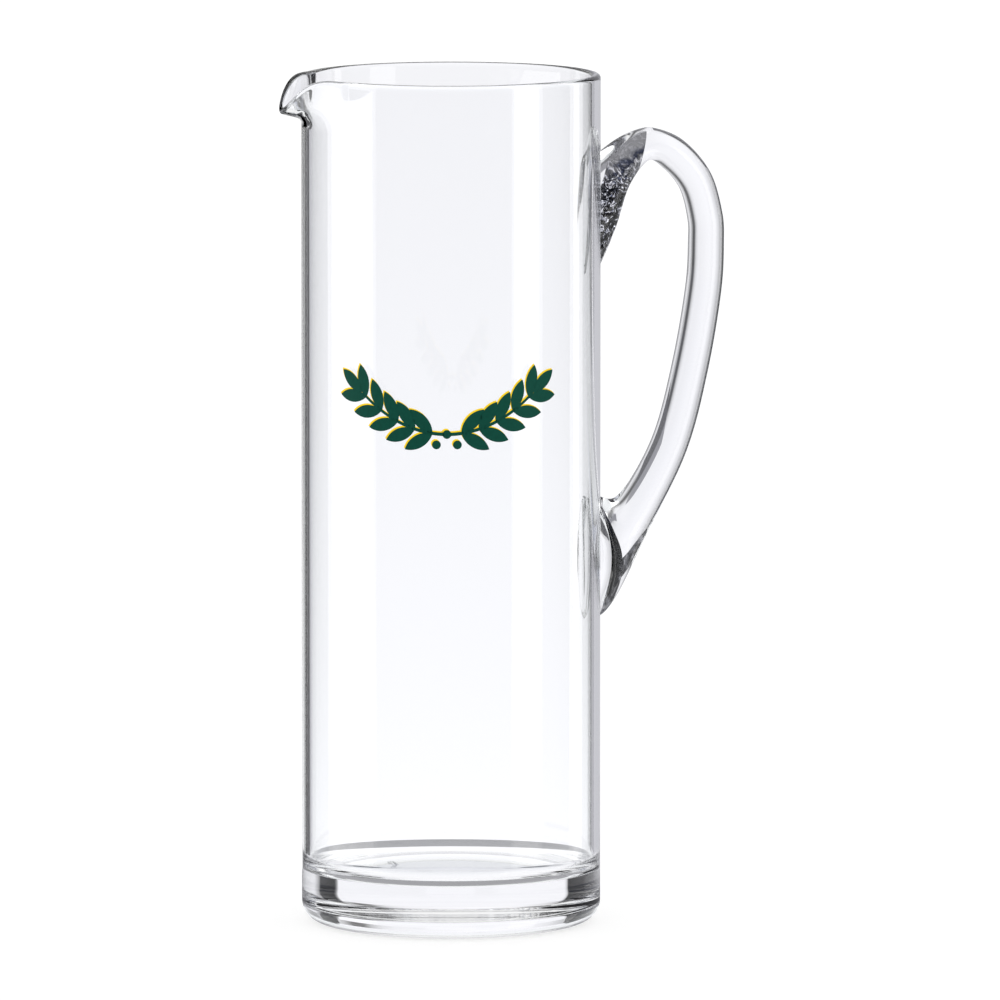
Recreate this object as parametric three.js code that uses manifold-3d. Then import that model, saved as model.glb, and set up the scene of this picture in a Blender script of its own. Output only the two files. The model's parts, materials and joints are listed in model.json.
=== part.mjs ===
// A tall clear-glass pitcher: a straight blown body with a heavy base and a pulled pouring lip,
// and a solid glass handle that is laid on hot and joins the wall with two spread feet.
// Millimetres, +Z up. The handle points along +X and the lip along -X, and the part stands on Z = 0
// with the centre of its outline over the origin.
import * as THREE from "three";
import { mergeVertices } from "three/addons/utils/BufferGeometryUtils.js";
import Module from "manifold-3d";

// Body
const BODY_DIAMETER = 95;
const BODY_HEIGHT = 270.5;
const WALL = 2.9;

// Base
const BASE_THICKNESS = 16.5;
const FOOT_ROUND = 7; // outer edge under the base
const FLOOR_FILLET = 6; // between the inner wall and the floor
const FLOOR_DISH = 0.8; // the floor is this much lower in the middle
const PUSH_UP_DIAMETER = 62; // hollow under the base, inside the ring that it stands on
const PUSH_UP_DEPTH = 2;

// Pouring lip
const LIP_PULL = 8.7; // how far the tip stands out of the wall
const LIP_BEND = 4; // radius of the turn under the lip
const LIP_TURN = 75; // degrees that the wall turns outwards
const LIP_LENGTH = 16.8; // how much of the wall, measured down from the rim, is drawn into the lip
const LIP_EDGE = 2.2; // thickness of the glass at the tip
const LIP_HALF_ANGLE = 29; // degrees of the rim on each side of the tip that follow the pull
const LIP_DROP_FADE = 2.5; // to the sides the lip climbs back sooner than it draws in

// Handle
const HANDLE_REACH = 42.3; // from the wall to the outermost edge
const HANDLE_HEIGHT = 156; // from the top of the bow to the end of the tail
const HANDLE_BELOW_RIM = 18.8;
const BOW_THICKNESS = 10.2; // seen from the side, at the upper end
const TAIL_THICKNESS = 12.4; // and at the lower end
const HANDLE_WIDTH = 13; // seen from the end
const UPPER_FOOT_HEIGHT = 39; // along the wall
const LOWER_FOOT_HEIGHT = 42;
const FOOT_WIDTH = 15; // both feet, across the wall
const FOOT_REACH = 16; // how far out of the wall the feet start to widen
const SEAT_GAP = 0.3; // between the feet and the wall

// Fineness of the facets
const BODY_SIDES = 96;
const ARC_STEPS = 3;
const LIP_STEPS = 8;
const HANDLE_STEPS = 60;
const HANDLE_SIDES = 16;
const WELD = 1e-4;
const SKIN_STEP = 1e-3; // radians or millimetres, to find the way that the lip's skin faces

const { clamp, degToRad, lerp } = THREE.MathUtils;
const bodyRadius = BODY_DIAMETER / 2;
const innerRadius = bodyRadius - WALL;
const rimRound = WALL / 2;
const lipFoot = BODY_HEIGHT - LIP_LENGTH;

// Solids for cutting: a geometry becomes a closed solid, and a solid becomes a geometry again.
const wasm = await Module();
wasm.setup();

function solidOf(geometry) {
  const bare = geometry.clone();
  bare.deleteAttribute("normal");
  bare.deleteAttribute("uv");
  const welded = mergeVertices(bare, WELD);
  const mesh = new wasm.Mesh({
    numProp: 3,
    vertProperties: welded.attributes.position.array,
    triVerts: new Uint32Array(welded.index.array),
  });
  return new wasm.Manifold(mesh);
}

function geometryOf(solid) {
  const mesh = solid.getMesh();
  const geometry = new THREE.BufferGeometry();
  geometry.setAttribute("position", new THREE.BufferAttribute(mesh.vertProperties, 3));
  geometry.setIndex(new THREE.BufferAttribute(mesh.triVerts, 1));
  geometry.computeVertexNormals();
  return geometry;
}

// Body: half of the section is one closed outline, from the middle of the underside out to the foot,
// up the wall, over the rounded rim and down inside to the floor.
function bodyProfile() {
  const floorEdge = innerRadius - FLOOR_FILLET;
  const ringInside = PUSH_UP_DIAMETER / 2;
  const rimBase = BODY_HEIGHT - rimRound;
  const lipHeights = [];
  for (let i = 0; i <= LIP_STEPS; i++) {
    lipHeights.push(lipFoot + ((rimBase - lipFoot) * i) / LIP_STEPS);
  }
  const profile = new THREE.Path();
  profile.moveTo(0, PUSH_UP_DEPTH);
  profile.quadraticCurveTo(ringInside / 2, PUSH_UP_DEPTH, ringInside, 0);
  profile.lineTo(bodyRadius - FOOT_ROUND, 0);
  profile.absarc(bodyRadius - FOOT_ROUND, FOOT_ROUND, FOOT_ROUND, -Math.PI / 2, 0, false);
  lipHeights.forEach((z) => profile.lineTo(bodyRadius, z));
  profile.absarc(bodyRadius - rimRound, rimBase, rimRound, 0, Math.PI, false);
  lipHeights.toReversed().forEach((z) => profile.lineTo(innerRadius, z));
  profile.lineTo(innerRadius, BASE_THICKNESS + FLOOR_FILLET);
  profile.absarc(floorEdge, BASE_THICKNESS + FLOOR_FILLET, FLOOR_FILLET, 0, -Math.PI / 2, true);
  profile.quadraticCurveTo(floorEdge / 2, BASE_THICKNESS - FLOOR_DISH, 0, BASE_THICKNESS - FLOOR_DISH);
  return profile.getPoints(ARC_STEPS);
}

// The lip is the top of the wall, bent outwards over a small radius and then straight to its tip. This
// is the outer skin there, at a bearing from the tip and a height on the straight wall. To the sides of
// the tip the pull fades out.
function lipSkin(bearing, height) {
  const aside = Math.min(Math.abs(bearing) / degToRad(LIP_HALF_ANGLE), 1);
  const pull = Math.cos((aside * Math.PI) / 2) ** 2;
  const fullTurn = degToRad(LIP_TURN);
  const turnLength = LIP_BEND * fullTurn;
  const straightLength = (LIP_PULL - LIP_BEND * (1 - Math.cos(fullTurn))) / Math.sin(fullTurn);
  const drawn = Math.max(height - lipFoot, 0);
  const travel = (drawn / LIP_LENGTH) * (turnLength + straightLength);
  const turn = Math.min(travel, turnLength) / LIP_BEND;
  const straight = Math.max(travel - turnLength, 0);
  const out = LIP_BEND * (1 - Math.cos(turn)) + straight * Math.sin(turn);
  const up = LIP_BEND * Math.sin(turn) + straight * Math.cos(turn);
  const radius = bodyRadius + out * pull;
  const rise = lerp(drawn, up, pull ** LIP_DROP_FADE);
  return new THREE.Vector3(-radius * Math.cos(bearing), radius * Math.sin(bearing), height - drawn + rise);
}

// A point of the straight wall goes to its place on the skin and then as deep into the glass as it was,
// square to the skin. Towards the tip the glass gets thinner.
function pullLip(point) {
  const bearing = Math.atan2(point.y, -point.x);
  const along = (point.z - lipFoot) / LIP_LENGTH;
  if (Math.abs(bearing) >= degToRad(LIP_HALF_ANGLE) || along <= 0) return;
  const depth = (bodyRadius - Math.hypot(point.x, point.y)) * lerp(1, LIP_EDGE / WALL, along);
  const across = lipSkin(bearing + SKIN_STEP, point.z).sub(lipSkin(bearing - SKIN_STEP, point.z));
  const upwards = lipSkin(bearing, point.z + SKIN_STEP).sub(lipSkin(bearing, point.z - SKIN_STEP));
  point.copy(lipSkin(bearing, point.z)).addScaledVector(across.cross(upwards).normalize(), depth);
}

function glassBody() {
  const geometry = new THREE.LatheGeometry(bodyProfile(), BODY_SIDES).rotateX(Math.PI / 2);
  const places = geometry.attributes.position;
  const point = new THREE.Vector3();
  for (let i = 0; i < places.count; i++) {
    point.fromBufferAttribute(places, i);
    pullLip(point);
    places.setXYZ(i, point.x, point.y, point.z);
  }
  return geometryOf(solidOf(geometry));
}

// Handle: its outer edge in its own plane, from the upper foot over the bow to the tail, as shares of
// its reach out of the wall and of its height. It starts and ends inside the wall, where it is trimmed.
function handleOuterEdge() {
  const shares = [
    [-0.2, 0.91],
    [0.03, 0.954],
    [0.16, 0.978],
    [0.3, 0.995],
    [0.45, 1.0],
    [0.68, 0.974],
    [0.89, 0.909],
    [0.985, 0.827],
    [1.0, 0.765],
    [0.98, 0.662],
    [0.875, 0.498],
    [0.71, 0.335],
    [0.41, 0.173],
    [0.1, 0.015],
    [-0.2, -0.02],
  ];
  const tail = BODY_HEIGHT - HANDLE_BELOW_RIM - HANDLE_HEIGHT;
  const points = shares.map(
    ([out, up]) => new THREE.Vector2(bodyRadius + out * HANDLE_REACH, tail + up * HANDLE_HEIGHT),
  );
  return new THREE.SplineCurve(points);
}

// The inner edge lies one thickness inside the outer one. At the feet it runs along the wall instead:
// down from the upper end in a long slope, and up from the lower one in a short turn.
function handleInnerEdge(outerEdge) {
  const last = outerEdge.points.length - 1;
  const points = outerEdge.points.map((edge, i) => {
    const along = outerEdge.getTangent(i / last);
    const thickness = lerp(BOW_THICKNESS, TAIL_THICKNESS, i / last);
    return new THREE.Vector2(edge.x + along.y * thickness, edge.y - along.x * thickness);
  });
  const upperEnd = outerEdge.points[1].y - UPPER_FOOT_HEIGHT;
  const lowerEnd = outerEdge.points[last].y + LOWER_FOOT_HEIGHT;
  points[1].set(bodyRadius, upperEnd);
  points[0].set(outerEdge.points[0].x, upperEnd - FOOT_REACH);
  points[2].set(lerp(points[1].x, points[4].x, 0.35), lerp(points[1].y, points[4].y, 0.37));
  points[3].set(lerp(points[1].x, points[4].x, 0.6), lerp(points[1].y, points[4].y, 0.75));
  points[last - 1].set(bodyRadius, lowerEnd);
  points[last].set(outerEdge.points[last].x, lowerEnd);
  points[last - 2].set(bodyRadius + FOOT_REACH / 2, lowerEnd);
  return new THREE.SplineCurve(points);
}

// Rings of points from the upper end to the lower one, joined into a closed skin.
function loft(rings) {
  const sides = rings[0].length;
  const points = rings.flat();
  const faces = [];
  for (let i = 0; i + 1 < rings.length; i++) {
    for (let j = 0; j < sides; j++) {
      const next = (j + 1) % sides;
      const a = i * sides + j;
      const b = i * sides + next;
      faces.push(a, b + sides, b, a, a + sides, b + sides);
    }
  }
  const last = (rings.length - 1) * sides;
  for (let j = 1; j + 1 < sides; j++) {
    faces.push(0, j, j + 1);
    faces.push(last, last + j + 1, last + j);
  }
  const geometry = new THREE.BufferGeometry().setFromPoints(points);
  geometry.setIndex(faces);
  return geometry;
}

function glassHandle() {
  const outerEdge = handleOuterEdge();
  const innerEdge = handleInnerEdge(outerEdge);
  const rings = [];
  for (let i = 0; i <= HANDLE_STEPS; i++) {
    const outer = outerEdge.getPoint(i / HANDLE_STEPS);
    const inner = innerEdge.getPoint(i / HANDLE_STEPS);
    const centre = outer.clone().lerp(inner, 0.5);
    const half = outer.clone().sub(centre);
    const near = clamp(1 - (centre.x - bodyRadius) / FOOT_REACH, 0, 1);
    const halfWidth = lerp(HANDLE_WIDTH, FOOT_WIDTH, near ** 2) / 2;
    const ring = [];
    for (let j = 0; j < HANDLE_SIDES; j++) {
      const angle = (j / HANDLE_SIDES) * 2 * Math.PI;
      const place = centre.clone().addScaledVector(half, Math.cos(angle));
      ring.push(new THREE.Vector3(place.x, halfWidth * Math.sin(angle), place.y));
    }
    rings.push(ring);
  }
  const wallSpace = new THREE.CylinderGeometry(
    bodyRadius + SEAT_GAP,
    bodyRadius + SEAT_GAP,
    2 * BODY_HEIGHT,
    BODY_SIDES,
  );
  wallSpace.rotateX(Math.PI / 2);
  return geometryOf(solidOf(loft(rings)).subtract(solidOf(wallSpace)));
}

// Both pieces are clear, colourless glass.
function piece(name, geometry) {
  const clearGlass = new THREE.MeshStandardMaterial({
    color: 0xf4f7f8,
    roughness: 0.03,
    metalness: 0,
    transparent: true,
    opacity: 0.35,
  });
  const mesh = new THREE.Mesh(geometry, clearGlass);
  mesh.name = name;
  return mesh;
}

const glass = new THREE.Group();
glass.add(piece("glass_body", glassBody()), piece("glass_handle", glassHandle()));

// The origin lies under the middle of the outline from the lip to the handle.
const outline = new THREE.Box3().setFromObject(glass);
glass.position.x = -(outline.min.x + outline.max.x) / 2;

const pitcher = new THREE.Group();
pitcher.add(glass);

export default pitcher;
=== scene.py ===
import functools
import json
import math

import bmesh
import bpy
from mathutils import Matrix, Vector, noise

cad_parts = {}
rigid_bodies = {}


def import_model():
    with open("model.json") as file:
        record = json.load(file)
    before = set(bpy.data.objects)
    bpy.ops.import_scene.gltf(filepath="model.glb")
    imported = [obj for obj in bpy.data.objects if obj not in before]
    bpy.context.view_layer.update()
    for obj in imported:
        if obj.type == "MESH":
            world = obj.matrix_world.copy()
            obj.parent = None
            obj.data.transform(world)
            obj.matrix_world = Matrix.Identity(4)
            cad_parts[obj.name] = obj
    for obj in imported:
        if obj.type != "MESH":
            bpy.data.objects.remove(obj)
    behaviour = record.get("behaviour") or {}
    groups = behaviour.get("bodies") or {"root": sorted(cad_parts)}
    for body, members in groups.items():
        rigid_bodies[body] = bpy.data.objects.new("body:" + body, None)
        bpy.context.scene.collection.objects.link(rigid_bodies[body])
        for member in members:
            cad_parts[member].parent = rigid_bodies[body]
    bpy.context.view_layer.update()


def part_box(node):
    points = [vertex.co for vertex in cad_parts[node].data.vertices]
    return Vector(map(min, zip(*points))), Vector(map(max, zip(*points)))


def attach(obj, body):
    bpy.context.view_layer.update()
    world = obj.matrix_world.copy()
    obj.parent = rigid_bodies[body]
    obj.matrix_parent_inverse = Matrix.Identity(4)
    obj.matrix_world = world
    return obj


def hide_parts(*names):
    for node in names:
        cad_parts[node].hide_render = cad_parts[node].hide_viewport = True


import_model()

# Glass body
# One blown bubble of clear, colourless glass: a straight wall on a heavy base that is pushed up under
# the middle. The rim is fire-polished, and the pouring lip is drawn out of it while it is hot.
body_low, body_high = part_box("glass_body")
body_radius = body_high.y
rim_height = body_high.z
axis_x = body_high.x - body_radius
wall = 0.0029
base_thickness = 0.0165
foot_round = 0.007
floor_fillet = 0.006
floor_dish = 0.0008
push_up_radius = 0.031
push_up_depth = 0.002
inner_radius = body_radius - wall
rim_round = 0.49 * wall
lip_pull = axis_x - body_low.x - body_radius
lip_bend = 0.004
lip_turn = math.radians(75)
lip_length = 0.0168
lip_edge = 0.0022
lip_half_angle = math.radians(29)
lip_drop_fade = 2.5
lip_foot = rim_height - lip_length
corner_steps = 16
rim_steps = 10
lip_cuts = 20
round_steps = 240
dish_shares = (0.25, 0.5, 0.75, 0.9)
point_size = 1e-6
sharp_angle = math.radians(60)


def pick_points(piece, chosen):
    """In edit mode, selects the points of the piece whose place passes the test."""
    bpy.ops.mesh.select_mode(type="VERT")
    bpy.ops.mesh.select_all(action="DESELECT")
    drawing = bmesh.from_edit_mesh(piece.data)
    for point in drawing.verts:
        point.select = chosen(point.co)
    drawing.select_flush_mode()
    bmesh.update_edit_mesh(piece.data)


def round_corner(piece, place, radius, steps):
    """Rounds one corner of an outline that is drawn in edit mode."""
    pick_points(piece, lambda co: (co - place).length < point_size)
    bpy.ops.mesh.bevel(offset=radius, segments=steps, affect="VERTICES")


def section_point(radius, height):
    return Vector((axis_x + radius, 0, height))


def finish_glass():
    """In edit mode, closes the skin, turns it outwards and gives it the shading of smooth glass."""
    bpy.ops.mesh.select_all(action="SELECT")
    bpy.ops.mesh.remove_doubles(threshold=point_size)
    bpy.ops.mesh.normals_make_consistent(inside=False)
    bpy.ops.object.mode_set(mode="OBJECT")
    bpy.ops.object.shade_smooth_by_angle(angle=sharp_angle)


# Half of the section is drawn as one line of points, from the middle of the underside round to the floor.
underside = []
for share in dish_shares:
    underside.append(section_point(push_up_radius * share, push_up_depth * (1 - share**2)))
floor = []
for share in reversed(dish_shares):
    drop = floor_dish * (1 - share**2)
    floor.append(section_point((inner_radius - floor_fillet) * share, base_thickness - drop))
foot_corner = section_point(body_radius, 0)
outer_rim = section_point(body_radius, rim_height)
inner_rim = section_point(inner_radius, rim_height)
floor_corner = section_point(inner_radius, base_thickness)
section = [section_point(0, push_up_depth)]
section += underside
section += [section_point(push_up_radius, 0), foot_corner]
section += [section_point(body_radius, lip_foot), outer_rim]
section += [inner_rim, section_point(inner_radius, lip_foot), floor_corner]
section += floor
section += [section_point(0, base_thickness - floor_dish)]

bpy.ops.object.select_all(action="DESELECT")
bpy.ops.mesh.primitive_plane_add(size=wall)
glass_body = bpy.context.object
glass_body.name = "blown_body"
bpy.ops.object.mode_set(mode="EDIT")
bpy.ops.mesh.merge(type="CENTER")
bpy.ops.transform.translate(value=section[0])
for start, end in zip(section, section[1:]):
    bpy.ops.mesh.extrude_region_move(TRANSFORM_OT_translate={"value": end - start})
round_corner(glass_body, foot_corner, foot_round, corner_steps)
round_corner(glass_body, floor_corner, floor_fillet, corner_steps)
round_corner(glass_body, outer_rim, rim_round, rim_steps)
round_corner(glass_body, inner_rim, rim_round, rim_steps)
lip_end = rim_height - rim_round
pick_points(glass_body, lambda co: lip_foot - point_size < co.z < lip_end + point_size)
bpy.ops.mesh.subdivide(number_cuts=lip_cuts)
bpy.ops.mesh.select_all(action="SELECT")
bpy.ops.mesh.spin(steps=round_steps, angle=2 * math.pi, center=(axis_x, 0, 0), axis=(0, 0, 1))
finish_glass()

# The lip: the top of the wall bends outwards over a small radius and runs straight to its tip. To the
# sides of the tip the pull fades out.
lip_turn_length = lip_bend * lip_turn
lip_straight = (lip_pull - lip_bend * (1 - math.cos(lip_turn))) / math.sin(lip_turn)
skin_step = 1e-6


def lip_skin(bearing, height):
    """The outer skin at a bearing from the lip's tip and a height on the straight wall."""
    pull = math.cos(min(abs(bearing) / lip_half_angle, 1) * math.pi / 2) ** 2
    drawn = max(height - lip_foot, 0)
    travel = drawn / lip_length * (lip_turn_length + lip_straight)
    turn = min(travel, lip_turn_length) / lip_bend
    straight = max(travel - lip_turn_length, 0)
    out = lip_bend * (1 - math.cos(turn)) + straight * math.sin(turn)
    up = lip_bend * math.sin(turn) + straight * math.cos(turn)
    radius = body_radius + out * pull
    rise = drawn + (up - drawn) * pull**lip_drop_fade
    return Vector((axis_x - radius * math.cos(bearing), radius * math.sin(bearing), height - drawn + rise))


# A point of the straight wall goes to its place on the skin and as deep into the glass as it was.
for vertex in glass_body.data.vertices:
    x = vertex.co.x - axis_x
    y = vertex.co.y
    height = vertex.co.z
    bearing = math.atan2(y, -x)
    along = (height - lip_foot) / lip_length
    if abs(bearing) >= lip_half_angle or along <= 0:
        continue
    depth = (body_radius - math.hypot(x, y)) * (1 + (lip_edge / wall - 1) * along)
    across = lip_skin(bearing + skin_step, height) - lip_skin(bearing - skin_step, height)
    upwards = lip_skin(bearing, height + skin_step) - lip_skin(bearing, height - skin_step)
    vertex.co = lip_skin(bearing, height) + depth * across.cross(upwards).normalized()

clear_glass = bpy.data.materials.new("clear_glass")
clear_glass.use_nodes = True
nodes = clear_glass.node_tree.nodes
links = clear_glass.node_tree.links
surface = nodes["Principled BSDF"]
surface.inputs["Roughness"].default_value = 0.0
surface.inputs["IOR"].default_value = 1.5
surface.inputs["Transmission Weight"].default_value = 1.0
place = nodes.new("ShaderNodeTexCoord")
streaks = nodes.new("ShaderNodeTexNoise")
streaks.inputs["Scale"].default_value = 9
tint = nodes.new("ShaderNodeMix")
tint.data_type = "RGBA"
tint.inputs["A"].default_value = (0.985, 0.99, 0.992, 1)
tint.inputs["B"].default_value = (0.998, 0.999, 1.0, 1)
links.new(place.outputs["Object"], streaks.inputs["Vector"])
links.new(streaks.outputs["Fac"], tint.inputs["Factor"])
links.new(tint.outputs["Result"], surface.inputs["Base Color"])
glass_body.data.materials.append(clear_glass)
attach(glass_body, "root")
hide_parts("glass_body")

# Glass handle
# A solid rod of the same glass, gathered hot, pressed on below the rim, bowed over and joined again
# lower down, where its tail is drawn out along the wall. Both feet are fused to the body.
handle_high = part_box("glass_handle")[1]
handle_reach = handle_high.x - body_high.x
handle_top = handle_high.z
handle_height = 0.156
bow_thickness = 0.0102
tail_thickness = 0.0124
handle_width = 0.013
upper_foot_height = 0.039
lower_foot_height = 0.042
foot_width = 0.015
foot_reach = 0.016
foot_sink = 0.0001
station_count = 113
rod_points = 32
seat_sharp_angle = math.radians(40)
# The outer edge, from the upper foot over the bow to the tail, in shares of the reach and the height.
outer_shares = [
    (-0.2, 0.91),
    (0.03, 0.954),
    (0.16, 0.978),
    (0.3, 0.995),
    (0.45, 1.0),
    (0.68, 0.974),
    (0.89, 0.909),
    (0.985, 0.827),
    (1.0, 0.765),
    (0.98, 0.662),
    (0.875, 0.498),
    (0.71, 0.335),
    (0.41, 0.173),
    (0.1, 0.015),
    (-0.2, -0.02),
]
# The upper foot's underside, in shares of the way from the wall to the bow.
underside_shares = ((0.35, 0.37), (0.6, 0.75))


def on_edge(points, share):
    """A point on the smooth line through the points, and its direction there."""
    place = share * (len(points) - 1)
    span = min(int(place), len(points) - 2)
    t = place - span
    start = points[span]
    end = points[span + 1]
    before = points[max(span - 1, 0)]
    after = points[min(span + 2, len(points) - 1)]
    start_slope = (end - before) / 2
    end_slope = (after - start) / 2
    bend = 3 * (end - start) - 2 * start_slope - end_slope
    twist = 2 * (start - end) + start_slope + end_slope
    point = start + start_slope * t + bend * t**2 + twist * t**3
    direction = start_slope + 2 * bend * t + 3 * twist * t**2
    return point, direction.normalized()


wall_x = axis_x + body_radius
outer_edge = []
for out, up in outer_shares:
    outer_edge.append(Vector((wall_x + out * handle_reach, 0, handle_top - handle_height * (1 - up))))
last = len(outer_edge) - 1
tail_end = outer_edge[last].z
inner_edge = []
for index, point in enumerate(outer_edge):
    direction = on_edge(outer_edge, index / last)[1]
    thickness = bow_thickness + (tail_thickness - bow_thickness) * index / last
    inner_edge.append(point + thickness * Vector((direction.z, 0, -direction.x)))
upper_end = outer_edge[1].z - upper_foot_height
lower_end = tail_end + lower_foot_height
inner_edge[0] = Vector((outer_edge[0].x, 0, upper_end - foot_reach))
inner_edge[1] = Vector((wall_x, 0, upper_end))
slope = inner_edge[4] - inner_edge[1]
for index, (out, up) in enumerate(underside_shares, 2):
    inner_edge[index] = inner_edge[1] + Vector((out * slope.x, 0, up * slope.z))
inner_edge[last - 2] = Vector((wall_x + foot_reach / 2, 0, lower_end))
inner_edge[last - 1] = Vector((wall_x, 0, lower_end))
inner_edge[last] = Vector((outer_edge[last].x, 0, lower_end))

stations = []
for step in range(station_count):
    outer = on_edge(outer_edge, step / (station_count - 1))[0]
    inner = on_edge(inner_edge, step / (station_count - 1))[0]
    centre = (outer + inner) / 2
    near = min(max(1 - (centre.x - wall_x) / foot_reach, 0), 1)
    width = handle_width + (foot_width - handle_width) * near**2
    lean = math.atan2(outer.z - inner.z, outer.x - inner.x)
    stations.append((centre, (outer - inner).length, width, lean))

# A round end is pulled from station to station: moved, squeezed to the section there and turned.
bpy.ops.object.select_all(action="DESELECT")
bpy.ops.mesh.primitive_circle_add(vertices=rod_points, radius=0.5, fill_type="NGON")
glass_handle = bpy.context.object
glass_handle.name = "laid_on_handle"
bpy.ops.object.mode_set(mode="EDIT")
held = (Vector((0, 0, 0)), 1.0, 1.0, 0.0)
for number, station in enumerate(stations):
    if number:
        bpy.ops.mesh.extrude_region_move()
    centre, thickness, width, lean = station
    held_centre, held_thickness, held_width, held_lean = held
    bpy.ops.transform.rotate(value=-held_lean, orient_axis="Y", center_override=held_centre)
    squeeze = (thickness / held_thickness, width / held_width, 1)
    bpy.ops.transform.resize(value=squeeze, center_override=held_centre)
    bpy.ops.transform.rotate(value=lean, orient_axis="Y", center_override=held_centre)
    bpy.ops.transform.translate(value=centre - held_centre)
    held = station
finish_glass()

# Where the feet meet the wall they take its curve.
bpy.ops.object.select_all(action="DESELECT")
bpy.ops.mesh.primitive_cylinder_add(
    vertices=round_steps,
    radius=body_radius - foot_sink,
    depth=2 * rim_height,
    location=(axis_x, 0, 0),
)
wall_space = bpy.context.object
bpy.ops.object.select_all(action="DESELECT")
glass_handle.select_set(True)
bpy.context.view_layer.objects.active = glass_handle
rounding = glass_handle.modifiers.new("rounding", "SUBSURF")
rounding.levels = 1
rounding.render_levels = 1
bpy.ops.object.modifier_apply(modifier="rounding")
seat = glass_handle.modifiers.new("seat", "BOOLEAN")
seat.operation = "DIFFERENCE"
seat.object = wall_space
bpy.ops.object.modifier_apply(modifier="seat")
bpy.data.objects.remove(wall_space)
bpy.ops.object.shade_smooth_by_angle(angle=seat_sharp_angle)

# The rod lies on the lower foot with a crease between the two. It runs down from the top of the foot,
# and each of its points is given as a distance out from the wall and a height above the tail's end.
crease_depth = 0.3
crease_width = 0.002
crease_line = ((0.0015, 0.0385), (0.004, 0.031), (0.0055, 0.024), (0.0055, 0.017), (0.0035, 0.009))
crease = []
for out, up in crease_line:
    crease.append(Vector((wall_x + out, 0, tail_end + up)))


def squeeze_at(place):
    """How much of its width the handle keeps at a place seen from the side."""
    nearest = 1.0
    for start, end in zip(crease, crease[1:]):
        span = end - start
        share = min(max((place - start).dot(span) / span.length_squared, 0), 1)
        nearest = min(nearest, (place - start - share * span).length)
    return 1 - crease_depth * math.exp(-((nearest / crease_width) ** 2))


for vertex in glass_handle.data.vertices:
    vertex.co.y *= squeeze_at(Vector((vertex.co.x, 0, vertex.co.z)))
glass_handle.data.update()
bpy.context.view_layer.update()
glass_handle.data.materials.append(clear_glass)
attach(glass_handle, "root")
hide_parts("glass_handle")

# Where the hot glass folded over itself, at the upper foot and in the crease of the lower one, a wrinkled
# film lies close under the skin where the fold holds air. Its dark mirror-metal colour is painted shade,
# with pale painted highlights along its threads, and the upper film is painted lighter towards the top.
film_thickness = 0.00015
film_inset = 0.0006
calm_height = 0.024
calm_least = 0.25
wrinkle_octaves = 3
# A lighter grey is painted on the films near the handle's top. The shades below are painted shade, with a
# pale painted highlight in the middle of each thread.
painted_light_start = handle_top - 0.02
painted_light_end = handle_top - 0.008
painted_light_most = 0.85
painted_light_colour = (0.25, 0.25, 0.27)
painted_film_blue = 1.1
shade_and_highlight_steps = ((0.38, 0.01), (0.455, 0.03), (0.5, 1.0), (0.545, 0.03), (0.62, 0.01))
smooth_painted_shade = ((0.3, 0.01), (0.5, 0.04), (0.7, 0.22))


def painted_fold_shade(name, size, shades):
    """Painted shade for a fold's film: dark mirror metal whose threads carry pale painted highlights,
    painted lighter towards the top.
    """
    finish = bpy.data.materials.new(name)
    finish.use_nodes = True
    nodes = finish.node_tree.nodes
    links = finish.node_tree.links
    surface = nodes["Principled BSDF"]
    surface.inputs["Roughness"].default_value = 0.05
    surface.inputs["Metallic"].default_value = 1.0
    place = nodes.new("ShaderNodeTexCoord")
    highlight_threads = nodes.new("ShaderNodeTexNoise")
    highlight_threads.inputs["Scale"].default_value = 1 / size
    highlight_threads.inputs["Detail"].default_value = 2
    highlight_threads.inputs["Distortion"].default_value = 2.5
    shade = nodes.new("ShaderNodeValToRGB")
    for at, grey in shades:
        step = shade.color_ramp.elements.new(at)
        step.color = (grey, grey, painted_film_blue * grey, 1)
    height = nodes.new("ShaderNodeSeparateXYZ")
    painted_lighter_top = nodes.new("ShaderNodeMapRange")
    painted_lighter_top.inputs["From Min"].default_value = painted_light_start
    painted_lighter_top.inputs["From Max"].default_value = painted_light_end
    painted_lighter_top.inputs["To Max"].default_value = painted_light_most
    painted_film_colour = nodes.new("ShaderNodeMix")
    painted_film_colour.data_type = "RGBA"
    painted_film_colour.inputs["B"].default_value = (*painted_light_colour, 1)
    links.new(place.outputs["Object"], highlight_threads.inputs["Vector"])
    links.new(place.outputs["Object"], height.inputs["Vector"])
    links.new(height.outputs["Z"], painted_lighter_top.inputs["Value"])
    links.new(highlight_threads.outputs["Fac"], shade.inputs["Fac"])
    links.new(painted_lighter_top.outputs["Result"], painted_film_colour.inputs["Factor"])
    links.new(shade.outputs["Color"], painted_film_colour.inputs["A"])
    links.new(painted_film_colour.outputs["Result"], surface.inputs["Base Color"])
    return finish


def skin_depth(place):
    """How far the handle's skin lies in front of its middle, at a place seen from the side."""
    start = Vector((place.x, -foot_width, place.z))
    struck, skin = glass_handle.ray_cast(start, Vector((0, 1, 0)))[:2]
    return -skin.y if struck else 0.0


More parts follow.
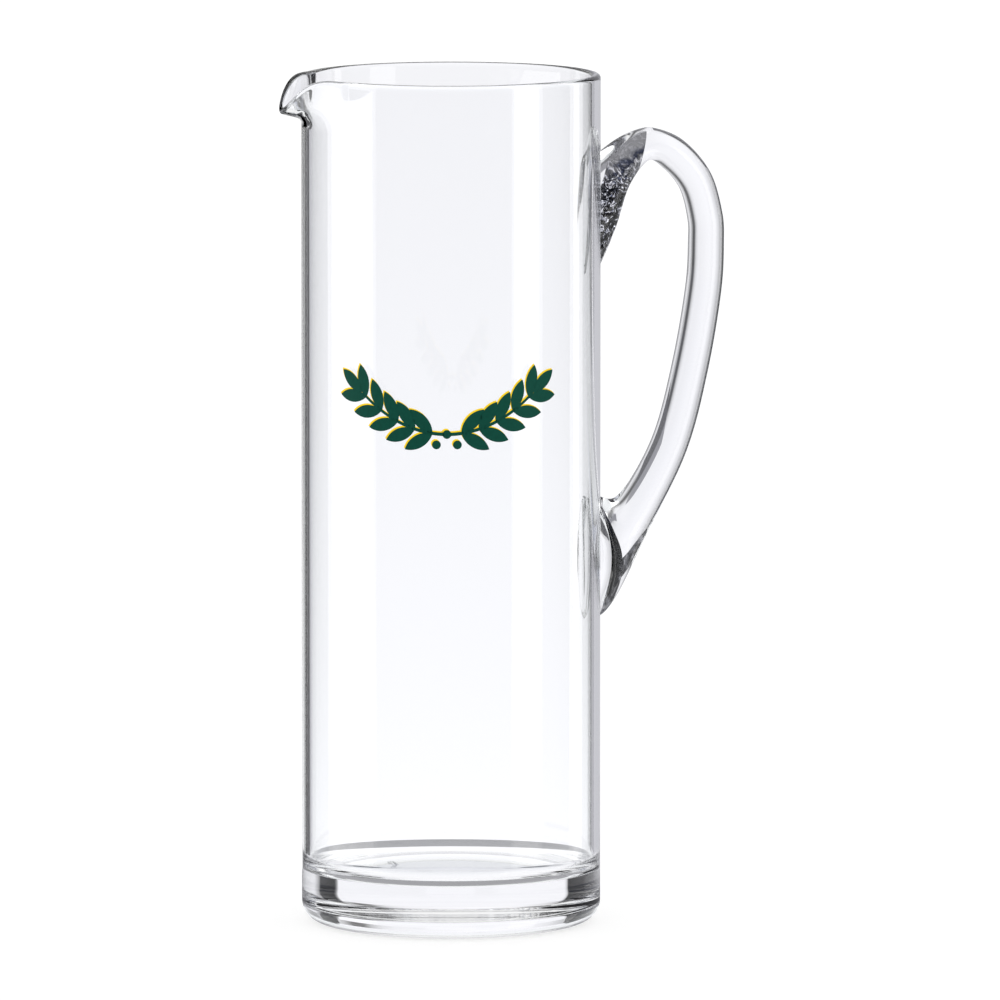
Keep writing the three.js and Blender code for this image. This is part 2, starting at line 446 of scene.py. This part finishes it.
def painted_shade_film(name, rows, columns, place_of, wrinkle_size, wrinkle_depth, finish):
    """A film close under the handle's skin, at places that are given for shares along and across."""
    bpy.ops.object.select_all(action="DESELECT")
    bpy.ops.mesh.primitive_grid_add(x_subdivisions=columns, y_subdivisions=rows, size=1)
    film = bpy.context.object
    film.name = name
    for vertex in film.data.vertices:
        place = place_of(vertex.co.y + 0.5, vertex.co.x + 0.5)
        wrinkle = noise.turbulence(place / wrinkle_size, wrinkle_octaves, False, noise_basis="BLENDER")
        strength = min(max((handle_top - place.z) / calm_height, calm_least), 1)
        place.y = min(film_inset + wrinkle_depth * strength**2 * wrinkle - skin_depth(place), 0)
        vertex.co = place
    bpy.ops.object.mode_set(mode="EDIT")
    bpy.ops.mesh.select_all(action="SELECT")
    bpy.ops.mesh.remove_doubles(threshold=point_size)
    bpy.ops.mesh.extrude_region_move(TRANSFORM_OT_translate={"value": (0, film_thickness, 0)})
    bpy.ops.mesh.select_all(action="SELECT")
    bpy.ops.mesh.normals_make_consistent(inside=False)
    bpy.ops.object.mode_set(mode="OBJECT")
    bpy.ops.object.shade_smooth()
    film.data.materials.append(finish)
    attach(film, "root")


fold_margin = 0.09
fold_gap = -0.0003
fold_start = 0.065
fold_slant = 0.17
fold_clear = 0.2
fold_end_outside = 0.257
fold_end_inside = 0.238


def upper_fold(along, across):
    """Runs from the wall to a slanting line across the rod, and leaves the foot's top corner clear."""
    start = fold_start + fold_slant * max(fold_clear - across, 0)
    end = fold_end_outside + (fold_end_inside - fold_end_outside) * across
    share = start + (end - start) * along
    outer = on_edge(outer_edge, share)[0]
    inner = on_edge(inner_edge, share)[0]
    place = outer + (inner - outer) * (fold_margin + (1 - 2 * fold_margin) * across)
    place.x = max(place.x, wall_x + fold_gap)
    return place


painted_shade_film(
    "upper_fold",
    rows=150,
    columns=50,
    place_of=upper_fold,
    wrinkle_size=0.004,
    wrinkle_depth=0.0012,
    finish=painted_fold_shade("upper_fold", 0.006, shade_and_highlight_steps),
)

# The lower fold has two branches. Each is a line of points: how far out from the wall it runs there, how
# high above the tail's end, and half its width.
crease_branch = (
    (0.0013, 0.0385, 0.0002),
    (0.0039, 0.031, 0.0011),
    (0.0056, 0.024, 0.0018),
    (0.0056, 0.017, 0.0022),
    (0.0036, 0.009, 0.0018),
    (0.0013, 0.004, 0.0004),
)
tail_branch = (
    (0.016, 0.0312, 0.0003),
    (0.0125, 0.0261, 0.0012),
    (0.0088, 0.0207, 0.0018),
    (0.0054, 0.0163, 0.0021),
)


def lower_fold(branch, along, across):
    """A place on a branch, along its line of points and across its width there."""
    middle = [Vector((wall_x + point[0], 0, tail_end + point[1])) for point in branch]
    place, direction = on_edge(middle, along)
    span = min(int(along * (len(branch) - 1)), len(branch) - 2)
    share = along * (len(branch) - 1) - span
    half_width = branch[span][2] + (branch[span + 1][2] - branch[span][2]) * share
    side = Vector((direction.z, 0, -direction.x))
    return place + side * (2 * across - 1) * half_width


# The lower films get a smooth painted shade, without highlight threads.
for name, branch in (("crease_fold", crease_branch), ("tail_fold", tail_branch)):
    painted_shade_film(
        name,
        rows=60,
        columns=16,
        place_of=functools.partial(lower_fold, branch),
        wrinkle_size=0.006,
        wrinkle_depth=0.0002,
        finish=painted_fold_shade(name, 0.012, smooth_painted_shade),
    )

# Printed garland
# A garland of leaves and berries in dark green enamel with yellow edges, screened on the front of the
# body and fired. It is a film of colour without a solid of its own.
print_middle = 0.167
print_bearing = math.radians(-16.3)
print_reach = 0.0285
print_sag = 0.0062
stem_width = 0.0011
stem_steps = 40
leaf_length = 0.0104
leaf_width = 0.0041
leaf_lean = math.radians(38)
leaf_start = 0.0045
leaf_step = 0.0056
leaf_pairs = 5
leaf_points = 96
berry_radius = 0.0014
berry_points = 32
berries = ((0.0, -0.0062), (-0.0033, -0.0095), (0.0033, -0.0095))
strip_width = 0.001
strip_count = int(1.5 * print_reach / strip_width)
film_lift = 0.00004
print_radius = body_radius + film_lift
green_film = 0.00003
yellow_film = 0.00001
yellow_shift = Vector((-0.00035, 0.00045, 0))


def stem_point(along):
    return Vector((along, print_sag * (2 * (along / print_reach) ** 2 - 1), 0))


# Each leaf stands at a place on the stem and leans away from it, and a last leaf ends the stem.
leaves = []
for side in (-1, 1):
    for number in range(leaf_pairs + 1):
        along = min(leaf_start + number * leaf_step, print_reach)
        rise = math.atan(4 * print_sag * along / print_reach**2)
        leans = (-leaf_lean, leaf_lean) if number < leaf_pairs else (0,)
        for lean in leans:
            turn = rise + lean if side > 0 else math.pi - rise - lean
            leaves.append((stem_point(side * along), turn))

# A leaf is a piece cut off a disc and its mirror image. It is laid down and copied from place to place.
leaf_round = (leaf_length**2 + leaf_width**2) / (4 * leaf_width)
bpy.ops.object.select_all(action="DESELECT")
bpy.ops.mesh.primitive_circle_add(vertices=leaf_points, radius=leaf_round, fill_type="NGON")
green_print = bpy.context.object
green_print.name = "green_print"
bpy.ops.object.mode_set(mode="EDIT")
bpy.ops.transform.translate(value=(leaf_length / 2, leaf_width / 2 - leaf_round, 0))
bpy.ops.mesh.bisect(plane_co=(0, 0, 0), plane_no=(0, 1, 0), clear_inner=True)
bpy.ops.mesh.select_all(action="SELECT")
bpy.ops.mesh.duplicate()
bpy.ops.transform.resize(value=(1, -1, 1), center_override=(0, 0, 0))
bpy.ops.mesh.select_all(action="SELECT")
bpy.ops.mesh.remove_doubles(threshold=1e-7)
bpy.ops.mesh.normals_make_consistent(inside=False)
held_place = Vector((0, 0, 0))
held_turn = 0.0
for number, (place, turn) in enumerate(leaves):
    if number:
        bpy.ops.mesh.duplicate()
    bpy.ops.transform.rotate(value=held_turn - turn, orient_axis="Z", center_override=held_place)
    bpy.ops.transform.translate(value=place - held_place)
    held_place = place
    held_turn = turn

# The stem is a line of points that is widened to a ribbon, and the berries are discs.
bpy.ops.mesh.select_all(action="DESELECT")
bpy.ops.mesh.primitive_plane_add(size=stem_width)
bpy.ops.mesh.merge(type="CENTER")
held_place = stem_point(-print_reach)
bpy.ops.transform.translate(value=held_place - Vector((0, stem_width / 2, 0)))
for step in range(1, stem_steps + 1):
    place = stem_point(print_reach * (2 * step / stem_steps - 1))
    bpy.ops.mesh.extrude_region_move(TRANSFORM_OT_translate={"value": place - held_place})
    held_place = place
bpy.ops.mesh.select_linked()
bpy.ops.mesh.extrude_region_move(TRANSFORM_OT_translate={"value": (0, stem_width, 0)})
for across, up in berries:
    bpy.ops.mesh.primitive_circle_add(
        vertices=berry_points,
        radius=berry_radius,
        fill_type="NGON",
        location=(across, up, 0),
    )

# The flat drawing is cut into upright strips, so that it can follow the round wall.
for strip in range(-strip_count, strip_count + 1):
    bpy.ops.mesh.select_all(action="SELECT")
    bpy.ops.mesh.bisect(plane_co=(strip * strip_width, 0, 0), plane_no=(1, 0, 0))
bpy.ops.object.mode_set(mode="OBJECT")
bpy.ops.object.duplicate()
yellow_print = bpy.context.object
yellow_print.name = "yellow_print"


def lay_on_wall(piece, shift, film):
    """Wraps a flat drawing round the front of the wall and gives it the thickness of a film."""
    for vertex in piece.data.vertices:
        place = vertex.co + shift
        bearing = print_bearing + place.x / print_radius
        out = Vector((math.sin(bearing), -math.cos(bearing), 0))
        vertex.co = Vector((axis_x, 0, print_middle + place.y)) + print_radius * out
    bpy.ops.object.select_all(action="DESELECT")
    piece.select_set(True)
    bpy.context.view_layer.objects.active = piece
    thickness = piece.modifiers.new("film", "SOLIDIFY")
    thickness.thickness = film
    thickness.offset = 0
    bpy.ops.object.modifier_apply(modifier="film")
    bpy.ops.object.mode_set(mode="EDIT")
    bpy.ops.mesh.select_all(action="SELECT")
    bpy.ops.mesh.normals_make_consistent(inside=False)
    bpy.ops.object.mode_set(mode="OBJECT")
    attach(piece, "root")


def enamel(name, thin, full):
    """Fired enamel, a little uneven where the screen left less of it."""
    finish = bpy.data.materials.new(name)
    finish.use_nodes = True
    nodes = finish.node_tree.nodes
    links = finish.node_tree.links
    surface = nodes["Principled BSDF"]
    surface.inputs["Roughness"].default_value = 0.45
    surface.inputs["Specular IOR Level"].default_value = 0.1
    place = nodes.new("ShaderNodeTexCoord")
    grain = nodes.new("ShaderNodeTexNoise")
    grain.inputs["Scale"].default_value = 900
    shade = nodes.new("ShaderNodeMix")
    shade.data_type = "RGBA"
    shade.inputs["A"].default_value = (*thin, 1)
    shade.inputs["B"].default_value = (*full, 1)
    links.new(place.outputs["Object"], grain.inputs["Vector"])
    links.new(grain.outputs["Fac"], shade.inputs["Factor"])
    links.new(shade.outputs["Result"], surface.inputs["Base Color"])
    return finish


lay_on_wall(green_print, Vector((0, 0, 0)), green_film)
lay_on_wall(yellow_print, yellow_shift, yellow_film)
green_print.data.materials.append(enamel("green_enamel", (0.0015, 0.07, 0.046), (0.0006, 0.05, 0.032)))
yellow_print.data.materials.append(enamel("yellow_enamel", (0.98, 0.7, 0.02), (0.94, 0.62, 0.012)))

# Studio
# A white sheet under even white light, with dark cards around the pitcher that draw the edges of the
# glass, and white panels that show on it. The cards and panels are there for the glass alone.
view_turn = math.radians(-15)
camera_right = Vector((math.cos(view_turn), math.sin(view_turn), 0))
camera_ahead = Vector((-math.sin(view_turn), math.cos(view_turn), 0))
sheet_size = 12
sheet_height = -0.0002
card_height = -0.00006
card_blue = 1.04
ring_points = 96
black = (0.0, 0.0, 0.0)
dark = (0.12, 0.12, 0.13)
grey = (0.58, 0.58, 0.62)
plain_white = (1.0, 1.0, 1.0)
bright_white = (1.8, 1.8, 1.8)


def in_studio(right, ahead, height=0.0):
    """A place that is given from the pitcher's foot, as the camera sees it."""
    return Vector((axis_x, 0, height)) + right * camera_right + ahead * camera_ahead


def sum_node(nodes, links, operation, first, second):
    """A Math node of two inputs, each a socket or a number."""
    node = nodes.new("ShaderNodeMath")
    node.operation = operation
    for socket, value in zip(node.inputs, (first, second)):
        if isinstance(value, (int, float)):
            socket.default_value = value
        else:
            links.new(value, socket)
    return node.outputs["Value"]


def glass_sees(nodes, links, way):
    """1 for a ray that came by way of the glass: mirrored by it, bent by it, or out of its thick parts."""
    ray = nodes.new("ShaderNodeLightPath")
    is_mirrored = sum_node(nodes, links, "GREATER_THAN", ray.outputs["Glossy Depth"], 0.5)
    is_shallow = sum_node(nodes, links, "LESS_THAN", ray.outputs["Transmission Depth"], 2.5)
    if way == "mirrored":
        shown = is_mirrored
    elif way == "front":
        shown = sum_node(nodes, links, "MULTIPLY", is_mirrored, is_shallow)
    elif way == "straight":
        shown = sum_node(nodes, links, "SUBTRACT", 1, is_mirrored)
    elif way == "bent":
        shown = sum_node(nodes, links, "SUBTRACT", is_shallow, is_mirrored)
    elif way == "solid":
        shown = sum_node(nodes, links, "COMPARE", ray.outputs["Transmission Depth"], 2)
    elif way == "skin":
        shown = sum_node(nodes, links, "SUBTRACT", is_mirrored, ray.outputs["Transmission Depth"])
    else:
        shown = sum_node(nodes, links, "SUBTRACT", 1, is_shallow)
    from_glass = sum_node(nodes, links, "SUBTRACT", shown, ray.outputs["Is Camera Ray"])
    return sum_node(nodes, links, "SUBTRACT", from_glass, ray.outputs["Diffuse Depth"])


def shades_around(nodes, links, right, ahead, shades):
    """Shades of grey by bearing, in degrees from -90 to 90, that come again in the other half turn."""
    bearing = sum_node(nodes, links, "ARCTAN2", right, ahead)
    halves = sum_node(nodes, links, "MULTIPLY", bearing, 1 / math.pi)
    from_left = sum_node(nodes, links, "ADD", halves, 0.5)
    ramp = nodes.new("ShaderNodeValToRGB")
    links.new(sum_node(nodes, links, "FRACT", from_left, 0), ramp.inputs["Fac"])
    steps = ramp.color_ramp.elements
    for degrees, shade in shades:
        place = degrees / 180 + 0.5
        step = steps[0] if place == 0 else steps[-1] if place == 1 else steps.new(place)
        step.color = (shade, shade, card_blue * shade, 1)
    return ramp.outputs["Color"]


def studio_light(name, colour, way):
    """A finish that only the glass shows, of an even brightness."""
    light = bpy.data.materials.new(name)
    light.use_nodes = True
    nodes = light.node_tree.nodes
    links = light.node_tree.links
    nodes.clear()
    glow = nodes.new("ShaderNodeEmission")
    glow.inputs["Color"].default_value = (*colour, 1)
    clear = nodes.new("ShaderNodeBsdfTransparent")
    choice = nodes.new("ShaderNodeMixShader")
    out = nodes.new("ShaderNodeOutputMaterial")
    links.new(glass_sees(nodes, links, way), choice.inputs["Fac"])
    links.new(clear.outputs["BSDF"], choice.inputs[1])
    links.new(glow.outputs["Emission"], choice.inputs[2])
    links.new(choice.outputs["Shader"], out.inputs["Surface"])
    return light


def set_up(card):
    """Keeps a card out of sight of the camera and the sheet, and lets it cast no shadow."""
    card.visible_camera = False
    card.visible_diffuse = False
    card.visible_shadow = False


def studio_card(name, places, colour, way):
    """A flat card between four places: two at its start and two at its end."""
    bpy.ops.object.select_all(action="DESELECT")
    bpy.ops.mesh.primitive_plane_add(size=1)
    card = bpy.context.object
    card.name = name
    for vertex, place in zip(card.data.vertices, places):
        vertex.co = in_studio(*place)
    card.data.materials.append(studio_light(name, colour, way))
    set_up(card)


def studio_panel(name, start, end, low, high, colour, way):
    """An upright card between two places on the floor."""
    studio_card(name, ((*start, low), (*end, low), (*start, high), (*end, high)), colour, way)


def floor_card(name, places, colour, way):
    """A card that lies on the sheet."""
    studio_card(name, [(*place, card_height) for place in places], colour, way)


def studio_ring(name, inner, outer, height, colour, way):
    """A flat ring on the sheet, round the pitcher."""
    bpy.ops.object.select_all(action="DESELECT")
    middle = in_studio(0, 0, height)
    bpy.ops.mesh.primitive_circle_add(vertices=ring_points, radius=outer, fill_type="NGON", location=middle)
    ring = bpy.context.object
    ring.name = name
    bpy.ops.object.mode_set(mode="EDIT")
    bpy.ops.mesh.inset(thickness=outer - inner)
    bpy.ops.mesh.delete(type="FACE")
    bpy.ops.object.mode_set(mode="OBJECT")
    ring.data.materials.append(studio_light(name, colour, way))
    set_up(ring)


# The sheet is white to the camera. What the glass mirrors of it fades with the distance from the pitcher,
# and what shows straight through the glass is left to the world.
bpy.ops.object.select_all(action="DESELECT")
bpy.ops.mesh.primitive_plane_add(size=sheet_size, location=(0, 0, sheet_height))
sheet = bpy.context.object
sheet.name = "white_sheet"
sheet_white = bpy.data.materials.new("sheet_white")
sheet_white.use_nodes = True
sheet_nodes = sheet_white.node_tree.nodes
sheet_links = sheet_white.node_tree.links
sheet_surface = sheet_nodes["Principled BSDF"]
sheet_surface.inputs["Base Color"].default_value = (0.4, 0.4, 0.4, 1)
sheet_surface.inputs["Roughness"].default_value = 0.9
sheet_surface.inputs["Specular IOR Level"].default_value = 0.0
sheet_surface.inputs["Emission Color"].default_value = (1, 1, 1, 1)
sheet_surface.inputs["Emission Strength"].default_value = 0.68
sheet_place = sheet_nodes.new("ShaderNodeTexCoord")
sheet_middle = sheet_nodes.new("ShaderNodeVectorMath")
sheet_middle.operation = "DISTANCE"
sheet_middle.inputs[1].default_value = (axis_x, 0, 0)
sheet_links.new(sheet_place.outputs["Object"], sheet_middle.inputs[0])
fade = sum_node(sheet_nodes, sheet_links, "MULTIPLY_ADD", sheet_middle.outputs["Value"], 0.85)
fade.node.inputs[2].default_value = 1.0
sheet_glow = sheet_nodes.new("ShaderNodeEmission")
sheet_glow.inputs["Color"].default_value = (0.96, 0.98, 1, 1)
sheet_links.new(sum_node(sheet_nodes, sheet_links, "DIVIDE", 1.1, fade), sheet_glow.inputs["Strength"])
sheet_choice = sheet_nodes.new("ShaderNodeMixShader")
sheet_links.new(glass_sees(sheet_nodes, sheet_links, "mirrored"), sheet_choice.inputs["Fac"])
sheet_links.new(sheet_surface.outputs["BSDF"], sheet_choice.inputs[1])
sheet_links.new(sheet_glow.outputs["Emission"], sheet_choice.inputs[2])
sheet_clear = sheet_nodes.new("ShaderNodeBsdfTransparent")
sheet_shown = sheet_nodes.new("ShaderNodeMixShader")
sheet_links.new(glass_sees(sheet_nodes, sheet_links, "straight"), sheet_shown.inputs["Fac"])
sheet_links.new(sheet_choice.outputs["Shader"], sheet_shown.inputs[1])
sheet_links.new(sheet_clear.outputs["BSDF"], sheet_shown.inputs[2])
sheet_links.new(sheet_shown.outputs["Shader"], sheet_nodes["Material Output"].inputs["Surface"])
sheet.data.materials.append(sheet_white)

# Narrow cards close behind the pitcher, which the wall mirrors along its two sides.
edge_ahead = 0.11
edge_height = 0.5
edge_cards = (
    ("edge_left_start", -0.044, -0.074, plain_white),
    ("edge_left", -0.0865, -0.121, black),
    ("edge_left_end", -0.121, -0.17, grey),
    ("edge_right", 0.02, 0.128, grey),
    ("edge_right_end", 0.128, 0.155, black),
)
for name, start, end, colour in edge_cards:
    studio_panel(name, (start, edge_ahead), (end, edge_ahead), 0.0, edge_height, colour, "front")

# White panels to the left and right, which the wall mirrors as upright strips. A card on the sheet runs
# from each panel to the pitcher's foot, so that its strip goes all the way down.
white_panels = (
    ("panel_left", 0.205, (-0.0382, -0.0282), (-0.024, -0.041), (-0.765, 0.234), (-0.697, -0.393)),
    ("panel_right", 0.6, (0.0284, -0.038), (0.0196, -0.0433), (0.766, -0.229), (0.6, -0.529)),
    ("panel_right_end", 0.6, (0.0404, -0.025), (0.0382, -0.0282), (0.693, 0.4), (0.765, 0.234)),
)
for name, height, near_start, near_end, start, end in white_panels:
    studio_panel(name, start, end, 0.0, height, bright_white, "front")
    floor_card(f"{name}_foot", (near_start, near_end, start, end), bright_white, "front")

# Dark cards on the sheet behind the pitcher, which draw the top of the bow and the edge above the lower
# foot.
bow_cards = (
    ("bow_top", dark, (0.075, 0.1), (-0.18, 0.1), (0.075, 0.3), (-0.18, 0.335)),
    ("bow_top_end", (0.7, 0.7, 0.72), (0.075, 0.3), (-0.18, 0.335), (0.075, 0.33), (-0.18, 0.37)),
    ("bow_foot_left", (0.3, 0.3, 0.33), (0.15, 0.34), (0.202, 0.322), (0.246, 0.728), (0.358, 0.69)),
    ("bow_foot_right", dark, (0.202, 0.322), (0.29, 0.27), (0.358, 0.69), (0.547, 0.575)),
)
for name, colour, *places in bow_cards:
    floor_card(name, places, colour, "bent")

# Rings and cards round the foot, which the thick base shows. The last ring is cut to its far half.
studio_ring("near_ring", 0.056, 0.17, -0.00004, (0.25, 0.25, 0.27), "skin")
studio_ring("white_ring", 0.001, 0.13, -0.0001, (1.05, 1.05, 1.08), "deep")
# The contact ring is a painted shadow: dark floor under the base, shown only to the glass.
studio_ring("contact_shadow_ring", 0.002, 0.046, -0.00008, (0.35, 0.35, 0.37), "front")
# The fillet ring is a painted shadow round the foot. The base shows it as the dark far arc of its fillet.
studio_ring("fillet_ring", 0.067, 0.095, -0.00008, (0.33, 0.33, 0.35), "deep")
bpy.ops.object.mode_set(mode="EDIT")
bpy.ops.mesh.select_all(action="SELECT")
bpy.ops.mesh.bisect(plane_co=in_studio(0, 0.02), plane_no=camera_ahead, clear_inner=True)
bpy.ops.object.mode_set(mode="OBJECT")
base_low = 0.014
base_high = 0.035
studio_panel("base_left", (0.0158, 0.0784), (0.0279, 0.075), base_low, base_high, black, "solid")
studio_panel("base_right", (-0.0168, 0.0782), (-0.0288, 0.0746), base_low, base_high, black, "solid")

# A low screen stands round the base, white with dark stretches that draw the blocks to its left and right.
screen_radius = 0.08
screen_height = 0.026
screen_middle = 0.001
screen_shades = (
    (-90, 1.0), (-50, 0.9), (-38, 0.3), (-30, 0.1), (-22, 0.04), (-21, 0.01), (-12.4, 0.01),
    (-11.8, 0.97), (10.8, 0.97), (11.4, 0.01), (19, 0.01), (20.4, 0.4), (24, 0.9), (90, 1.0),
)
bpy.ops.object.select_all(action="DESELECT")
bpy.ops.mesh.primitive_cylinder_add(
    vertices=ring_points,
    radius=screen_radius,
    depth=screen_height,
    end_fill_type="NOTHING",
)
screen = bpy.context.object
screen.name = "base_screen"
screen.location = (axis_x, 0, screen_middle)
screen.rotation_euler = (0, 0, view_turn)
screen_light = studio_light("base_screen", plain_white, "solid")
screen_nodes = screen_light.node_tree.nodes
screen_links = screen_light.node_tree.links
screen_place = screen_nodes.new("ShaderNodeTexCoord")
screen_parts = screen_nodes.new("ShaderNodeSeparateXYZ")
screen_links.new(screen_place.outputs["Object"], screen_parts.inputs["Vector"])
screen_right = screen_parts.outputs["X"]
screen_ahead = screen_parts.outputs["Y"]
screen_colour = shades_around(screen_nodes, screen_links, screen_right, screen_ahead, screen_shades)
screen_links.new(screen_colour, screen_nodes["Emission"].inputs["Color"])
screen.data.materials.append(screen_light)
set_up(screen)

# Clear discs lie in the mouth. A ray that has passed all of them looks into it and misses the cards.
mouth_discs = 8
disc_step = 0.00005
disc_radius = 0.985 * inner_radius
bpy.ops.object.select_all(action="DESELECT")
bpy.ops.mesh.primitive_circle_add(
    vertices=ring_points,
    radius=disc_radius,
    fill_type="NGON",
    location=(axis_x, 0, rim_height),
)
mouth = bpy.context.object
mouth.name = "mouth_discs"
bpy.ops.object.mode_set(mode="EDIT")
for number in range(mouth_discs - 1):
    bpy.ops.mesh.duplicate()
    bpy.ops.transform.translate(value=(0, 0, -disc_step))
bpy.ops.object.mode_set(mode="OBJECT")
mouth_clear = bpy.data.materials.new("mouth_clear")
mouth_clear.use_nodes = True
mouth_nodes = mouth_clear.node_tree.nodes
mouth_through = mouth_nodes.new("ShaderNodeBsdfTransparent")
mouth_out = mouth_nodes["Material Output"].inputs["Surface"]
mouth_clear.node_tree.links.new(mouth_through.outputs["BSDF"], mouth_out)
mouth.data.materials.append(mouth_clear)
mouth.visible_diffuse = False
mouth.visible_shadow = False

# The world is white to the camera. Rays that the glass bends or mirrors find dark cards in it by bearing.
world = bpy.data.worlds.new("white_studio")
bpy.context.scene.world = world
world.use_nodes = True
world_nodes = world.node_tree.nodes
world_links = world.node_tree.links
backdrop = world_nodes["Background"]
looking = world_nodes.new("ShaderNodeTexCoord")
upward = world_nodes.new("ShaderNodeSeparateXYZ")
world_links.new(looking.outputs["Generated"], upward.inputs["Vector"])


def looks_along(direction):
    """How far a ray runs along a direction."""
    node = world_nodes.new("ShaderNodeVectorMath")
    node.operation = "DOT_PRODUCT"
    node.inputs[1].default_value = direction
    world_links.new(looking.outputs["Generated"], node.inputs[0])
    return node.outputs["Value"]


def world_range(value, start, end):
    """Goes from 0 where the value is at the start to 1 where it is at the end."""
    node = world_nodes.new("ShaderNodeMapRange")
    node.inputs["From Min"].default_value = start
    node.inputs["From Max"].default_value = end
    world_links.new(value, node.inputs["Value"])
    return node.outputs["Result"]


def world_sum(operation, first, second):
    return sum_node(world_nodes, world_links, operation, first, second)


def world_mix(share, first, second):
    """The first light where the share is 0 and the second where it is 1."""
    node = world_nodes.new("ShaderNodeMix")
    node.data_type = "RGBA"
    world_links.new(share, node.inputs["Factor"])
    for socket, light in zip(("A", "B"), (first, second)):
        if isinstance(light, tuple):
            node.inputs[socket].default_value = (*light, 1)
        else:
            world_links.new(light, node.inputs[socket])
    return node.outputs["Result"]


def by_way(way, others, those):
    """One light for the rays that came that way, and one for the others."""
    return world_mix(glass_sees(world_nodes, world_links, way), others, those)


ahead = looks_along(camera_ahead)
right = looks_along(camera_right)
rise = upward.outputs["Z"]
card_shades = (
    (-90, 0.9), (-76, 0.85), (-71, 0.05), (-54, 0.02), (-49, 0.2), (-45, 0.45), (-40, 0.47), (-31, 0.78),
    (-22, 0.95), (-8, 1.0), (15, 0.9), (19, 0.8), (23, 0.5), (26, 0.1), (31, 0.08), (35, 0.42),
    (44, 0.85), (50, 0.6), (58, 0.15), (71, 0.15), (76, 0.85), (90, 0.9),
)
cards = shades_around(world_nodes, world_links, right, ahead, card_shades)

# What the glass mirrors: the cards low down and a white room behind and above, dim towards the camera.
low_cards = world_mix(world_range(rise, 0.2, 0.45), cards, plain_white)
behind = world_range(ahead, 0.2, 0.75)
above = world_range(rise, 0.2, 0.6)
lit = world_sum("MAXIMUM", behind, above)
room = world_mix(lit, (0.14, 0.16, 0.24), by_way("solid", plain_white, low_cards))
inner_light = world_mix(world_range(rise, 0.1, 0.35), (0.5, 0.52, 0.6), plain_white)
inner_room = by_way("front", inner_light, room)

# What shows through both walls: the sheet, with a dark place low down ahead that draws the near rim.
far_sheet = world_mix(world_range(rise, -0.139, -0.085), (1.048, 1.048, 1.085), (1.019, 1.019, 1.055))
beside = world_sum("ABSOLUTE", right, 0)
in_line = world_range(beside, 0.32, 0.28)
is_ahead = world_range(ahead, 0.18, 0.22)
is_steep = world_range(rise, -0.7, -0.74)
is_below = world_sum("MULTIPLY", is_steep, is_ahead)
under_rim = world_sum("MULTIPLY", is_below, in_line)
near_sheet = world_mix(under_rim, far_sheet, (0.03, 0.03, 0.04))
through = by_way("deep", plain_white, near_sheet)
mirrored_room = by_way("mirrored", through, inner_room)

# What shows through one wall or the handle: the cards, and plain light in the mouth.
passed = world_nodes.new("ShaderNodeLightPath").outputs["Transparent Depth"]
into_mouth = world_sum("GREATER_THAN", passed, mouth_discs - 0.5)
bent_cards = world_mix(into_mouth, cards, (0.97, 0.97, 1.0))
world_links.new(by_way("bent", mirrored_room, bent_cards), backdrop.inputs["Color"])

# Camera
# It stands to the left of the handle's side, a little above the rim, with a long lens. Light may pass
# the glass many times on its way.
camera_place = in_studio(0.0156, -4.2694, 0.6272)
camera_tilt = 0.11487
glass_bounces = 48
clear_passes = 24
camera_data = bpy.data.cameras.new("camera")
camera_data.lens = 486.9
camera_data.sensor_width = 36
camera_data.clip_end = 100
camera = bpy.data.objects.new("camera", camera_data)
bpy.context.scene.collection.objects.link(camera)
camera.location = camera_place
camera.rotation_euler = (math.pi / 2 - camera_tilt, 0, view_turn)
bpy.context.scene.camera = camera
bpy.context.scene.view_settings.view_transform = "Standard"
light_paths = bpy.context.scene.cycles
light_paths.max_bounces = glass_bounces
light_paths.glossy_bounces = glass_bounces
light_paths.transmission_bounces = glass_bounces
light_paths.transparent_max_bounces = clear_passes
